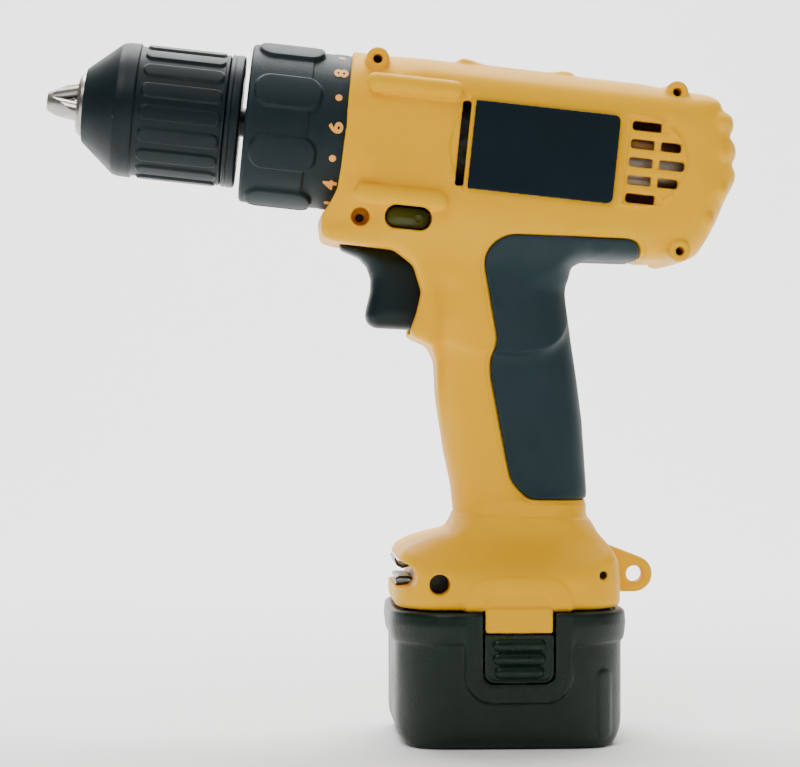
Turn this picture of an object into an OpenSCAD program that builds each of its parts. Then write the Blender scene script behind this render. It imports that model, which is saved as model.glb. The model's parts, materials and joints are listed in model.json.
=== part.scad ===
// Pistol-grip cordless drill: clamshell housing, planetary gearbox, keyless chuck, slide-off battery.
// Row frame: origin under the middle of the battery, +Z up, chuck towards -X, halves split at Y = 0.
// The barrel has its own axis: u runs rearwards along the spindle, w runs up from it.

/* [Barrel] */
// Height of the spindle axis above the floor at X = 0
barrel_z = 194.5; // [190:0.5:200]
// Nose-up tilt of the spindle axis, degrees
barrel_tilt = 6; // [5:0.5:7]
// Half of the barrel's width
barrel_half = 28.5; // [27.5:0.5:30]
// Wall thickness of the housing
wall = 2.6; // [2:0.2:3]

/* [Handle and foot] */
// Half of the handle's width
handle_half = 18.5; // [18:0.5:20]
// Half of the foot's width and of the battery's width
foot_half = 40; // [39.5:0.25:41]
// Thickness of the rubber on the grip
rubber = 1.5; // [1:0.1:1.8]

/* [Gearbox] */
// Teeth on each sun gear
sun_teeth = 18; // [18:1:18]
// Teeth on each planet gear
planet_teeth = 15; // [15:1:15]
// Gear module, pitch diameter per tooth
gear_module = 0.75; // [0.73:0.01:0.76]
// Distance between the gear stages
stage_pitch = 11.5; // [11.2:0.1:12]

/* [Chuck and collar] */
// Radius of the chuck sleeve
sleeve_r = 22; // [21.5:0.1:22.4]
// Radius of the steel nose of the chuck body
nose_r = 10.3; // [10:0.1:10.5]
// Number of raised lobes on the torque collar
lobes = 8; // [6:1:10]
// Number of flutes on the chuck sleeve
flutes = 20; // [12:1:24]
// Angle between a jaw and the spindle axis, degrees
jaw_angle = 15; // [14:0.5:16]

/* [Battery] */
// Height of the battery body
battery_h = 44; // [43:0.5:44]
// Radius of one battery cell
cell_r = 11.25; // [11:0.05:11.3]
// Height of one battery cell
cell_h = 34; // [30:1:36]

/* [Hidden] */
$fn = 64;

yellow = "#f6b41e";
rubber_colour = "#3a4c50";
black = "#191d20";
steel = "#b9bcbe";
brass = "#c8a24a";
battery_colour = "#26302a";

gap = 0.3;           // clearance between bodies that move past each other
fit = 0.05;          // radial clearance of a running fit
foot_z = battery_h + gap;
front_u = -52.5;     // front edge of the housing
collar_r = 25.75;    // numbered band of the torque collar
section_top = 28.3;  // barrel section: highest and lowest w, corner radius
section_low = -35;
section_r = 16;

// Point of the X-Z plane at station u along the axis and height w above it.
function at(u, w) = [
    u * cos(barrel_tilt) + w * sin(barrel_tilt),
    barrel_z - u * sin(barrel_tilt) + w * cos(barrel_tilt)
];
function arc(c, r, a0, a1, n) = [
    for (i = [0:n]) c + r * [cos(a0 + (a1 - a0) * i / n), sin(a0 + (a1 - a0) * i / n)]
];
function unit(v) = v / norm(v);
function left_of(v) = [-v[1], v[0]];
// Closed clockwise outline moved inwards by d.
function inset(p, d) = [
    for (i = [0:len(p) - 1])
        let (before = p[(i + len(p) - 1) % len(p)],
             after = p[(i + 1) % len(p)],
             n1 = -left_of(unit(p[i] - before)),
             n2 = -left_of(unit(after - p[i])))
            p[i] + (n1 + n2) * d / (1 + n1 * n2)
];

module barrel_frame() {
    translate([0, 0, barrel_z]) rotate([0, barrel_tilt, 0]) children();
}
// Children stand on the spindle axis at station u, their Z pointing rearwards.
module on_axis(u = 0) {
    barrel_frame() translate([u, 0, 0]) rotate([0, 90, 0]) children();
}
// Solid of revolution about the spindle axis from [radius, u] points.
module turned(points) {
    on_axis() rotate_extrude($fn = 96) polygon(points);
}
module ring(u0, u1, r_out, r_in) {
    on_axis() rotate_extrude($fn = 96) translate([r_in, u0]) square([r_out - r_in, u1 - u0]);
}
// Outline in the X-Z plane, extruded from y0 to y1.
module side_plate(y0, y1) {
    translate([0, y1, 0]) rotate([90, 0, 0]) linear_extrude(y1 - y0) children();
}
module rounded(half_x, half_y, r) {
    square([2 * half_x, 2 * (half_y - r)], center = true);
    square([2 * (half_x - r), 2 * half_y], center = true);
    for (sx = [-1, 1], sy = [-1, 1])
        translate([sx * (half_x - r), sy * (half_y - r)]) circle(r);
}
module across(x, z, r, half) {
    translate([x, 0, z]) rotate([90, 0, 0]) cylinder(r = r, h = 2 * half, center = true);
}

// ---- housing ----------------------------------------------------------------------------------

// Side outline of the housing, clockwise from the top of the front edge.
housing_side = concat(
    [at(front_u, 28)],
    [at(-10, 27.8), at(40, 27.2)],
    [for (p = arc([44.2, -2.2], 33.1, 63, -63, 12)) at(p[0], p[1])],
    [[45.3, 156.6], [26.5, 157], [21.6, 154.6], [20, 149.5], [20.2, 144.8]],
    [[22, 131.5], [24, 118.2], [25.7, 104.8], [27.3, 81.5], [27, 73.2]],
    [[28.7, 68.2], [33, 64.8], [38.9, 61], [39, foot_z], [-39, foot_z], [-39, 51]],
    [[-37.7, 58.2], [-36, 61.5], [-30.7, 64.8], [-18.6, 68], [-17.3, 73.2]],
    [[-18.3, 83.6], [-20.7, 94.8], [-23, 111.5], [-23.4, 125.6], [-26.3, 129.9], [-32.8, 133.2]],
    [[-30.7, 138.6], [-28.4, 147.2], [-31.3, 155.9], [-37.8, 161.3]],
    [[-56.3, 163.2], [-60.6, 164.4], [-62.3, 167], [-61, 174.2], [-54.3, 187.2], [-52.6, 202.2]]
);
handle_lean = 3.8;        // lean of the handle towards the nose, degrees
slab_half = 20;           // half width of the block between barrel and trigger
boss_r = 3.65;
hole_r = 1.7;
// Screw places: [x, z, half length of the boss, radius of the access hole]
boss_places = [
    [at(-46, 24.4), 22, hole_r],
    [at(51.8, 22.9), 22, hole_r],
    [at(57.2, -28.8), 24, hole_r],
    [[-49, 171.3], 18.5, 1.4],
    [[-24.2, 52.7], 36, 3.4],
    [[28.6, 55.3], 36, 1.4]
];

// Widths of the housing, with every face moved inwards by d.
module widths(d) {
    intersection() {
        on_axis(front_u - 12)
            linear_extrude(150)
                translate([-(section_top + section_low) / 2, 0])
                    rounded((section_top - section_low) / 2 - d, barrel_half - d, section_r - d);
        barrel_frame() translate([2.4, 0, -60])
            linear_extrude(120) rounded(75 - d, barrel_half - d, 20 - d);
    }
    translate([-17, 0, 128]) linear_extrude(56) rounded(47 - d, slab_half - d, 6);
    translate([5.5, 0, 56]) rotate([0, -handle_lean, 0])
        linear_extrude(108) rounded(25 - d, handle_half - d, handle_half - d - 0.5);
    intersection() {
        translate([0, 0, foot_z - 1]) linear_extrude(40) rounded(39.2 - d, foot_half - d, 17 - d);
        rotate([90, 0, 90]) linear_extrude(100, center = true) polygon(inset(
            concat([[-foot_half, foot_z - 2], [-foot_half, 56], [-37, 61.5], [-28, 66]],
                   [[-21, 70], [-18, 76], [18, 76], [21, 70]],
                   [[28, 66], [37, 61.5], [foot_half, 56], [foot_half, foot_z - 2]]), d));
    }
}
module housing_form(d) {
    intersection() {
        side_plate(-50, 50) polygon(inset(housing_side, d));
        widths(d);
    }
}
// Outline of the rubber on the grip, seen from the side.
module grip_outline(d = 0) {
    polygon(inset(concat(
        [[-7, 159.4], [0.5, 166.2], [40.8, 164.4], [44, 160], [43.4, 153], [34, 145], [34, 78.6]],
        [[7, 79], [1.2, 85], [-2.3, 102], [-5.5, 119.8], [-5.5, 124.7], [-3.4, 131], [-5.2, 141],
         [-7.3, 155]]), d));
}
module grip_skin(y0, y1) {
    difference() {
        intersection() {
            side_plate(y0, y1) grip_outline();
            housing_form(0);
        }
        housing_form(rubber);
    }
}
label_u = [-13.2, 34.2];
label_w = [-16, 12.9];
label_t = 0.8;
module label_plate(y0, y1) {
    barrel_frame() translate([label_u[0], y0, label_w[0]])
        cube([label_u[1] - label_u[0], y1 - y0, label_w[1] - label_w[0]]);
}
vent_pitch = 5.9;
vent_r = 17.9;
// Five slots whose ends follow a half circle, cut through both sides.
module vents() {
    for (i = [-2:2])
        let (reach = sqrt(pow(vent_r, 2) - pow(vent_pitch * abs(i) + 2, 2)))
            barrel_frame() translate([38.4, -40, -2.2 + vent_pitch * i - 2.1])
                cube([reach, 80, 4.2]);
}
module side_bars() {
    for (side = [-1, 1], w = [15, -21])
        barrel_frame() translate([-48.2, side * (barrel_half - 1.3), w]) {
            rotate([0, 90, 0]) cylinder(r = 3.1, h = 29);
            for (x = [0, 29]) translate([x, 0, 0]) sphere(3.1, $fn = 32);
        }
}
// Way for the trigger and the room behind it.
module trigger_pocket() {
    side_plate(-8.7, 8.7)
        polygon([[-66, 137.1], [-66, 164.3], [-16.5, 159.1], [-16.5, 131.9]]);
}
button_at = at(-30.9, -27.1);
module button_hole(grow) {
    translate([button_at[0], 0, button_at[1]]) rotate([0, barrel_tilt, 0]) rotate([90, 0, 0])
        linear_extrude(60, center = true) rounded(7.4 + grow, 3.5 + grow, 3.4 + grow);
}
selector_u = [-8.5, 11];    // ends of the opening for the speed selector
module selector_opening() {
    barrel_frame() translate([selector_u[0], -6.5, 20]) cube([selector_u[1] - selector_u[0], 13, 12]);
}
// Low saddle round the speed selector.
module saddle() {
    barrel_frame() intersection() {
        translate([-19, -14, 20]) cube([38, 28, 12]);
        rotate([90, 0, 0]) linear_extrude(28, center = true)
            polygon([[-19, 20], [-19, 27.5], [-17, 30], [-14, 29.4], [14, 29.2], [17, 29.4], [19, 27]]);
    }
}
eye = [43.2, 53.5];
eye_r = 2.7;
module eye_tab() {
    side_plate(-3, 3) difference() {
        union() {
            translate(eye) circle(6);
            polygon([[33, 63.5], [45.4, 59.1], [eye[0], 47.5], [33, 47.5]]);
        }
        translate(eye) circle(eye_r);
    }
}
// Slot across the front of the foot, with a channel for the lower bit clip.
notch = [
    [-50, 52.2], [-50, 61], [-37.4, 61], [-35.8, 59], [-31, 58.6], [-29.2, 56.6], [-28.6, 53],
    [-29.6, 50.6], [-31.5, 49.6], [-36.9, 49.4], [-37.2, 52.2]
];
// Yellow tabs that hang over the release buttons.
module button_tabs() {
    for (side = [-1, 1])
        translate([release_x - tab_half, side > 0 ? foot_half - 1.9 : -foot_half - 0.2, 37.6])
            cube([2 * tab_half, 2.1, 8]);
}
// Notches in the battery that take those tabs.
module tab_notches() {
    for (side = [-1, 1])
        translate([release_x - tab_half - gap, side > 0 ? foot_half - 2.3 : -foot_half - 1, 36.5])
            cube([2 * (tab_half + gap), 3.3, 10]);
}
module arm_slots(z0, z1) {
    for (side = [-1, 1], x = [-9.2, 9.2])
        translate([release_x + x - 2.1, side > 0 ? 33 : -38.1, z0]) cube([4.2, 5.1, z1 - z0]);
}
stalk_x = 4.4;
module housing_solid() {
    difference() {
        union() {
            difference() {
                union() {
                    housing_form(0);
                    saddle();
                    side_bars();
                    eye_tab();
                }
                housing_form(wall);
                grip_skin(-50, 50);
            }
            // screw bosses, motor and gearbox cradles, switch shelf
            intersection() {
                for (b = boss_places) across(b[0][0], b[0][1], b[1] > 30 ? 5 : boss_r, b[1]);
                union() {
                    housing_form(0);
                    for (b = boss_places)
                        if (b[1] < 30) across(b[0][0], b[0][1], boss_r, b[1]);
                }
            }
            intersection() {
                housing_form(rubber + 0.1);
                for (u = [-40, -18, 24, 56]) ring(u, u + 2.5, 40, 15);
            }
            button_tabs();
            intersection() {
                housing_form(0.5);
                translate([-40, -38, 46]) cube([14, 76, 18]);
            }
        }
        // room for the collar, gearbox and motor, then the smaller openings
        ring(-70, front_u, collar_r + gap, 0);
        ring(-53.5, 12.5, 23.35, 0);
        ring(12.4, 68.3, 18.7, 0);
        ring(68, 72.5, 8, 0);
        trigger_pocket();
        button_hole(gap);
        selector_opening();
        vents();
        for (b = boss_places) {
            across(b[0][0], b[0][1], 1.2, b[1] - 4);
            for (side = [-1, 1])
                translate([0, side * b[1], 0]) across(b[0][0], b[0][1], b[2], 7);
        }
        for (side = [-1, 1]) {
            label_plate(side > 0 ? barrel_half - label_t : -barrel_half - 1,
                        side > 0 ? barrel_half + 1 : -barrel_half + label_t);
            barrel_frame() translate([-17.2, side * barrel_half - 1.5, -15.3]) cube([3, 3, 27.8]);
        }
        side_plate(-45, 45) polygon(notch);
        translate([stalk_x, 0, 40]) cylinder(r = 14.4, h = 46);
        arm_slots(40, 60);
    }
}
module housing_half(side) {
    color(yellow) intersection() {
        housing_solid();
        translate([-100, side > 0 ? 0 : -60, 20]) cube([220, 60, 240]);
    }
}
module housing_left() { housing_half(-1); }
module housing_right() { housing_half(1); }
module grip_left() { color(rubber_colour) grip_skin(-50, 0); }
module grip_right() { color(rubber_colour) grip_skin(0, 50); }
module label_left() { color(black) label_plate(-barrel_half, -barrel_half + label_t); }
module label_right() { color(black) label_plate(barrel_half - label_t, barrel_half); }
module housing_screws() {
    color(steel) for (b = boss_places) {
        across(b[0][0], b[0][1], 1.1, b[1] - 6);
        translate([0, -(b[1] - 6.2), 0]) across(b[0][0], b[0][1], b[2] - 0.25, 0.8);
    }
}

// ---- chuck -------------------------------------------------------------------------------------

spindle_r = 4.75;
screw_r = 2.5;       // screw through the chuck into the spindle
jaw_tip_u = -152.6;
jaw_length = 31;
jaw_r = 2.9;
jaw_gap = 0.06;      // between closed jaws
// Frame of jaw i: origin on the jaw's own axis at the tip, Z running back along the jaw.
module jaw_frame(i) {
    on_axis(jaw_tip_u) rotate(120 * i + 60) translate([1.9, 0, 0]) rotate([0, jaw_angle, 0]) children();
}
module jaw(i) {
    color(steel) difference() {
        intersection() {
            jaw_frame(i) cylinder(r = jaw_r, h = jaw_length);
            // front chamfer and the two faces that meet the other jaws
            on_axis(jaw_tip_u) cylinder(r1 = 3, r2 = 23, h = 40);
        }
        on_axis(jaw_tip_u - 1) rotate(120 * i + 60) for (s = [-1, 1])
            rotate(s * 60) translate([-40, s > 0 ? -jaw_gap / 2 : jaw_gap / 2 - 30, 0])
                cube([80, 30, 60]);
        on_axis(jaw_tip_u - 1) cylinder(r = 0.75, h = 60);
    }
}
module jaw_1() { jaw(0); }
module jaw_2() { jaw(1); }
module jaw_3() { jaw(2); }
module chuck_body() {
    color(steel) difference() {
        turned([[0, -142.4], [nose_r - 1.2, -142.4], [nose_r, -141.2], [nose_r, -136],
                [12, -131], [14.2, -128], [14.2, -113], [15, -113], [15, -88.6], [0, -88.6]]);
        for (i = [0:2]) jaw_frame(i) translate([0, 0, -5]) cylinder(r = jaw_r + gap, h = 60);
        on_axis(-143) cylinder(r = 4.6, h = 24);
        on_axis(-120) cylinder(r = screw_r + fit, h = 6);
        on_axis(-116.5) cylinder(r = spindle_r + fit, h = 30);
    }
}
module chuck_screw() {
    color(steel) {
        on_axis(-121.5) cylinder(r = 4.3, h = 2.4);
        on_axis(-119.2) cylinder(r = screw_r, h = 12);
    }
}
module chuck_rear_ring() {
    color(black)
        turned([[15, -93], [21.2, -93], [21.85, -92.3], [21.85, -89.2], [21.2, -88.6], [15, -88.6]]);
}
module chuck_nut() {
    color(steel) ring(-126.5, -119.5, 19.4, 14.5);
}
module chuck_sleeve() {
    color(black) difference() {
        turned([[nose_r + gap, -139.5], [14, -139.5], [sleeve_r, -128.5], [sleeve_r, -94],
                [sleeve_r - 0.8, -93.4], [19.4, -93.4], [19.4, -129], [15.5, -129],
                [nose_r + gap, -136.5]]);
        for (i = [0:flutes - 1])
            on_axis(-121) rotate(360 / flutes * i) translate([sleeve_r + 0.6, 0, 0])
                cylinder(r = 1.3, h = 24);
    }
}

// ---- clutch and gearbox --------------------------------------------------------------------------

collar_front = -86.8;
lobe_width = 25;     // degrees
module torque_collar() {
    color(black) {
        turned([[25.2, collar_front], [26.2, -85.8], [26.2, -65.5], [collar_r, -65.5],
                [collar_r, front_u - gap], [22.6, front_u - gap], [22.6, -84.3], [16, -84.3],
                [16, collar_front]]);
        for (i = [0:lobes - 1])
            on_axis() rotate(360 / lobes * i + 5.5) rotate_extrude(angle = lobe_width, $fn = 96)
                translate([26.1, -84.5]) square([1.25, 21.7]);
    }
}
module clutch_nut() { color(brass) ring(-79, -74.5, 21.9, 14.3); }
// Round wire wound about Z: mean radius, wire radius, height, turns.
module coil(r, wire, h, turns) {
    steps = ceil(turns * 14);
    sides = 6;
    points = [for (i = [0:steps], k = [0:sides - 1])
        let (a = 360 * turns * i / steps, b = 360 * k / sides, d = r + wire * cos(b))
            [d * cos(a), d * sin(a), wire + (h - 2 * wire) * i / steps + wire * sin(b)]];
    faces = [for (i = [0:steps - 1], k = [0:sides - 1])
        let (n = (k + 1) % sides)
            [i * sides + k, (i + 1) * sides + k, (i + 1) * sides + n, i * sides + n]];
    ends = [[for (k = [0:sides - 1]) k], [for (k = [sides - 1:-1:0]) steps * sides + k]];
    polyhedron(points, concat(faces, ends), convexity = 8);
}
ball_r = 2;
ball_ring = 18.8;
module clutch_spring() { color(steel) on_axis(-74.2) coil(17.6, 1.4, 39.2, 4.5); }
module clutch_washer() { color(steel) ring(-34.8, -33.1, 20.6, 14.3); }
// Three balls in each of six holes pass the spring's push on to the last ring gear.
module clutch_balls() {
    color(steel) for (i = [0:5], k = [0:2])
        on_axis(-23.05 - 2 * ball_r * k) rotate(60 * i) translate([ball_ring, 0, 0]) sphere(ball_r);
}
gear_start = 9;          // rear face of the first stage's planets
gear_width = 7;
ring_teeth = sun_teeth + 2 * planet_teeth;
gear_distance = gear_module * (sun_teeth + planet_teeth) / 2;
ring_outer = 21.1;
speed_travel = 3.5;      // stroke of the speed selector
function stage_rear(k) = gear_start - stage_pitch * k;
// Involute tooth outline of n teeth; slack thins the teeth on each side.
pressure = 25;
function inv(a) = tan(a) * 180 / PI - a;
function tooth_angle(n, r, slack) =
    let (base = n * gear_module / 2 * cos(pressure), a = r > base ? acos(base / r) : 0)
        90 / n + inv(pressure) - inv(a) - slack / r * 180 / PI;
function gear_outline(n, low, high, slack) =
    let (rp = n * gear_module / 2, radii = [rp - low, rp, rp + high])
        [for (t = [0:n - 1], s = [-1, 1], k = [0:2])
            let (r = radii[s < 0 ? k : 2 - k], a = 360 * t / n + s * tooth_angle(n, r, slack))
                r * [cos(a), sin(a)]];
module gear(n, width) {
    linear_extrude(width)
        polygon(gear_outline(n, 1.15 * gear_module, 0.85 * gear_module, 0.06));
}
module ring_gear(u, r_out) {
    on_axis(u) difference() {
        cylinder(r = r_out, h = gear_width);
        translate([0, 0, -1]) linear_extrude(gear_width + 2)
            polygon(gear_outline(ring_teeth, 0.85 * gear_module, 1.15 * gear_module, -0.06));
    }
}
pin_r = 2;
plate_t = 2.8;
plate_gap = 0.4;
module planet(stage, i) {
    color(steel) on_axis(stage_rear(stage) - gear_width) rotate(120 * i)
        translate([gear_distance, 0, 0]) difference() {
            gear(planet_teeth, gear_width);
            translate([0, 0, -1]) cylinder(r = pin_r + fit, h = gear_width + 2);
        }
}
module carrier(stage) {
    plate_u = stage_rear(stage) - gear_width - plate_gap - plate_t;
    on_axis(plate_u) {
        cylinder(r = 16.2, h = plate_t);
        for (i = [0:2]) rotate(120 * i) translate([gear_distance, 0, 0])
            cylinder(r = pin_r, h = plate_t + plate_gap + gear_width);
    }
}
module carrier_with_sun(stage) {
    sun_u = stage_rear(stage + 1) - gear_width;
    plate_u = stage_rear(stage) - gear_width - plate_gap - plate_t;
    color(steel) {
        carrier(stage);
        on_axis(sun_u) gear(sun_teeth, plate_u - sun_u + 0.5);
    }
}
module planet_1a() { planet(0, 0); }
module planet_1b() { planet(0, 1); }
module planet_1c() { planet(0, 2); }
module planet_2a() { planet(1, 0); }
module planet_2b() { planet(1, 1); }
module planet_2c() { planet(1, 2); }
module planet_3a() { planet(2, 0); }
module planet_3b() { planet(2, 1); }
module planet_3c() { planet(2, 2); }
module carrier_1() { carrier_with_sun(0); }
module carrier_2() { carrier_with_sun(1); }
module output_carrier() { color(steel) carrier(2); }
spindle_end = stage_rear(2) - gear_width - plate_gap - plate_t;
module spindle() {
    color(steel) on_axis(-116) difference() {
        cylinder(r = spindle_r, h = 116 + spindle_end);
        translate([0, 0, -1]) cylinder(r = screw_r + fit, h = 11);
    }
}
module spindle_bearing() { color(steel) ring(-82, -75, 11.4, spindle_r + fit); }
module ring_gear_1() { color(steel) ring_gear(stage_rear(0) - gear_width, ring_outer); }
module ring_gear_3() { color(steel) ring_gear(stage_rear(2) - gear_width, ring_outer); }
module speed_ring() { color(steel) ring_gear(stage_rear(1) - gear_width, ring_outer - gap); }
link_u = stage_rear(1) - gear_width / 2 - 1.5;
link_r = ring_outer - gap;
module gear_selector() {
    color(black) barrel_frame() {
        translate([link_u, -1.8, link_r]) cube([3, 3.6, 26 - link_r]);
        translate([-12.1, -8, 23.7]) cube([23.5, 16, 0.95]);
        translate([-8, -6, 24]) difference() {
            cube([15, 12, 4.8]);
            for (x = [2.5:2.5:12.5]) translate([x - 0.5, -1, 4.1]) cube([1, 14, 1]);
        }
    }
}
module gearbox_case() {
    color("#3c3f42") difference() {
        turned([[11.4, -83], [13.9, -83], [13.9, -50], [23.2, -50], [23.2, 12], [21.2, 12],
                [21.2, -25], [11.4, -25]]);
        for (i = [0:5])
            on_axis(-36) rotate(60 * i) translate([ball_ring, 0, 0]) cylinder(r = ball_r + fit, h = 12);
        // room for the washer and the spring in front of the ball holes
        ring(-50.5, -33, 21, 13.9);
        barrel_frame() translate([link_u - 0.6, -2.3, 18]) cube([3 + speed_travel + 1.2, 4.6, 8]);
    }
}

// ---- motor ---------------------------------------------------------------------------------------

can_u = [14, 68];
can_r = 18.5;
shaft_r = 1.6;
module motor_plate() { color(steel) ring(12.1, 13.9, 21, 5); }
module motor_can() {
    color(steel) turned([[shaft_r + fit, can_u[0] - 1.8], [4.8, can_u[0] - 1.8], [4.8, can_u[0]],
        [can_r, can_u[0]], [can_r, can_u[1]], [can_r - 1.3, can_u[1]],
        [can_r - 1.3, can_u[0] + 1.3], [shaft_r + fit, can_u[0] + 1.3]]);
}
module magnets() {
    color("#4a4a4d") for (a = [30, 210])
        on_axis() rotate(a) rotate_extrude(angle = 120, $fn = 96)
            translate([13.9, 20]) square([3.2, 30]);
}
poles = 5;
module armature() {
    color(steel) {
        on_axis(1.8) cylinder(r = shaft_r, h = 69.8);
        on_axis(22) difference() {
            cylinder(r = 13.4, h = 26);
            for (i = [0:poles - 1])
                rotate(360 / poles * i) translate([9.4, 0, -1]) cylinder(r = 2.8, h = 28);
            translate([0, 0, -1]) cylinder(r = shaft_r, h = 28);
        }
        // fan pressed on the shaft behind the front bush
        for (i = [0:7]) on_axis(16.2) rotate(45 * i) translate([3, -0.5, 0]) cube([8.5, 1, 3.6]);
        on_axis(16.2) difference() {
            cylinder(r = 3.4, h = 3.6);
            translate([0, 0, -1]) cylinder(r = shaft_r, h = 6);
        }
    }
}
module commutator() {
    color(brass) on_axis(51) difference() {
        cylinder(r = 5.2, h = 10);
        translate([0, 0, -1]) cylinder(r = shaft_r, h = 12);
        for (i = [0:poles - 1]) rotate(360 / poles * i) translate([4.6, -0.2, -1]) cube([2, 0.4, 12]);
    }
}
module pinion() {
    color(brass) on_axis(gear_start - gear_width) difference() {
        gear(sun_teeth, gear_width);
        translate([0, 0, -1]) cylinder(r = shaft_r, h = gear_width + 2);
    }
}
module brush_holders() {
    color(brass) {
        for (side = [0, 180])
            on_axis(53) rotate(side) translate([5.5, -2.5, 0]) cube([11.4, 5, 6]);
        ring(64, 67.9, 17.1, 3.9);
    }
}
module rear_bearing() { color(steel) ring(64.2, 70, 3.85, shaft_r + fit); }

// ---- trigger and switch ----------------------------------------------------------------------------

module trigger() {
    color(black) {
        side_plate(-8.2, 8.2) polygon([
            [-24, 159.3], [-55.7, 162.6], [-50.8, 159.9], [-48, 158.2], [-45.7, 154.8], [-44.7, 151.6],
            [-45.3, 148.2], [-46.7, 141.5], [-46.9, 138.6], [-43.6, 135.3], [-24, 133.2]
        ]);
        on_axis(-19) translate([50, 0, 0]) cylinder(r = 2.2, h = 14.5);
    }
}
switch_u = [-9, 22];
module switch_body() {
    color("#33363a") difference() {
        barrel_frame() translate([switch_u[0], -9.5, -69])
            cube([switch_u[1] - switch_u[0], 19, 23]);
        on_axis(switch_u[0] - 1) translate([50, 0, 0]) cylinder(r = 2.2 + fit, h = 14);
    }
}
module trigger_spring() {
    color(steel) on_axis(-17.3) translate([50, 0, 0]) coil(3.4, 0.4, 8, 5);
}
module direction_button() {
    color(black) {
        translate([button_at[0], 0, button_at[1]]) rotate([0, barrel_tilt, 0]) rotate([90, 0, 0])
            linear_extrude(2 * (slab_half + 2.5), center = true) rounded(7.4, 3.5, 3.4);
    }
}
module terminal_block() {
    color("#33363a") translate([2.6, 0, 0]) {
        translate([-12, -11, 101]) cube([24, 22, 8]);
        for (x = [-6, 6]) translate([x - 3, -0.6, 91]) cube([6, 1.2, 10]);
    }
}
module wires() {
    color("#b3261e") for (y = [-6, 6])
        translate([-1.5, y, 109.2]) rotate([0, 3, 0]) cylinder(r = 1.3, h = 15.5);
}
clip_strips = [
    [[-38, 61], [-37.3, 61.2], [-36.2, 58.2], [-34.6, 57.5], [-31, 58.2], [-31, 57.5], [-34.6, 56.8],
     [-36.8, 57.5]],
    [[-36.6, 51.4], [-36, 50.8], [-30.2, 51.6], [-30.2, 50.8], [-36.4, 50], [-37, 50.5]]
];
module bit_clips() {
    color(steel) for (strip = clip_strips, y = [-13, 13])
        side_plate(y - 7, y + 7) polygon(strip);
}

// ---- battery ---------------------------------------------------------------------------------------

batt_x = 38.8;
batt_wall = 2.3;
batt_corner = 17;
cell_pitch = 23;
release_x = 1;          // middle of the release buttons
release_half = 11.3;    // half of their width
tab_half = 10.8;        // half of the width of the tabs over them
stalk_r = 13.8;
stalk_top = 97;
module battery_block(d, z1) {
    intersection() {
        linear_extrude(z1) rounded(batt_x - d, foot_half - d, batt_corner - d);
        side_plate(-60, 60) polygon(concat(
            [[-batt_x + d, 50], [batt_x - d, 50]],
            arc([batt_x - 7, 7], 7 - d, 0, -90, 6), arc([7 - batt_x, 7], 7 - d, -90, -180, 6)));
    }
}
module button_window(grow) {
    for (side = [-1, 1])
        translate([release_x - release_half - grow, side > 0 ? 33 : -foot_half - 1, 21.4 - grow])
            cube([2 * (release_half + grow), foot_half - 32, 14.9 + 2 * grow]);
}
module battery_case() {
    color(battery_colour) difference() {
        battery_block(0, battery_h - 2.4);
        battery_block(batt_wall, battery_h);
        button_window(gap);
        at_battery_screws() {
            translate([0, 0, -1]) cylinder(r = 1.7, h = 2.85);
            cylinder(r = 1.2, h = 5);
        }
        tab_notches();
    }
}
module battery_cover() {
    color(battery_colour) difference() {
        union() {
            translate([0, 0, battery_h - 2.4]) linear_extrude(2.4)
                rounded(batt_x, foot_half, batt_corner);
            translate([stalk_x, 0, battery_h - 2.4]) cylinder(r = stalk_r, h = stalk_top - battery_h + 2.4);
        }
        translate([stalk_x, 0, battery_h - 3])
            cylinder(r = stalk_r - batt_wall, h = stalk_top - battery_h - 7);
        arm_slots(battery_h - 3, battery_h + 1);
        for (x = [-6, 6]) translate([2.6 + x - 3.3, -0.9, 88]) cube([6.6, 1.8, 12]);
        tab_notches();
    }
}
module battery_cells() {
    color("#c7c9cb") {
        for (x = [-1:1], y = [-1:1])
            translate([cell_pitch * x, cell_pitch * y, batt_wall + 1]) cylinder(r = cell_r, h = cell_h);
        translate([stalk_x, 0, 50]) cylinder(r = cell_r, h = cell_h);
    }
}
module release_button(side) {
    color(battery_colour) translate([release_x, 0, 0]) {
        translate([-release_half, side > 0 ? foot_half - 2.2 : -foot_half, 21.4]) difference() {
            cube([2 * release_half, 2.2, 14.9]);
            for (z = [4, 7.5, 11]) translate([3, side > 0 ? 1.5 : -0.3, z]) cube([16.6, 1, 1.2]);
        }
        for (x = [-9.2, 9.2]) {
            translate([x - 1.7, side > 0 ? foot_half - 4 : -foot_half + 2.6, 31]) cube([3.4, 1.4, 20]);
            translate([x - 1.7, side > 0 ? foot_half - 2.7 : -foot_half + 2.1, 31]) cube([3.4, 0.6, 5]);
        }
    }
}
module release_button_left() { release_button(-1); }
module release_button_right() { release_button(1); }
module at_battery_screws() {
    for (x = [-1, 1] * cell_pitch / 2, y = [-1, 1] * cell_pitch / 2) translate([x, y, 0]) children();
}
module battery_screws() {
    color(steel) at_battery_screws() {
        translate([0, 0, 0.6]) cylinder(r = 1.6, h = 1.2);
        translate([0, 0, 1.7]) cylinder(r = 1.1, h = 1.4);
    }
}

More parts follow.
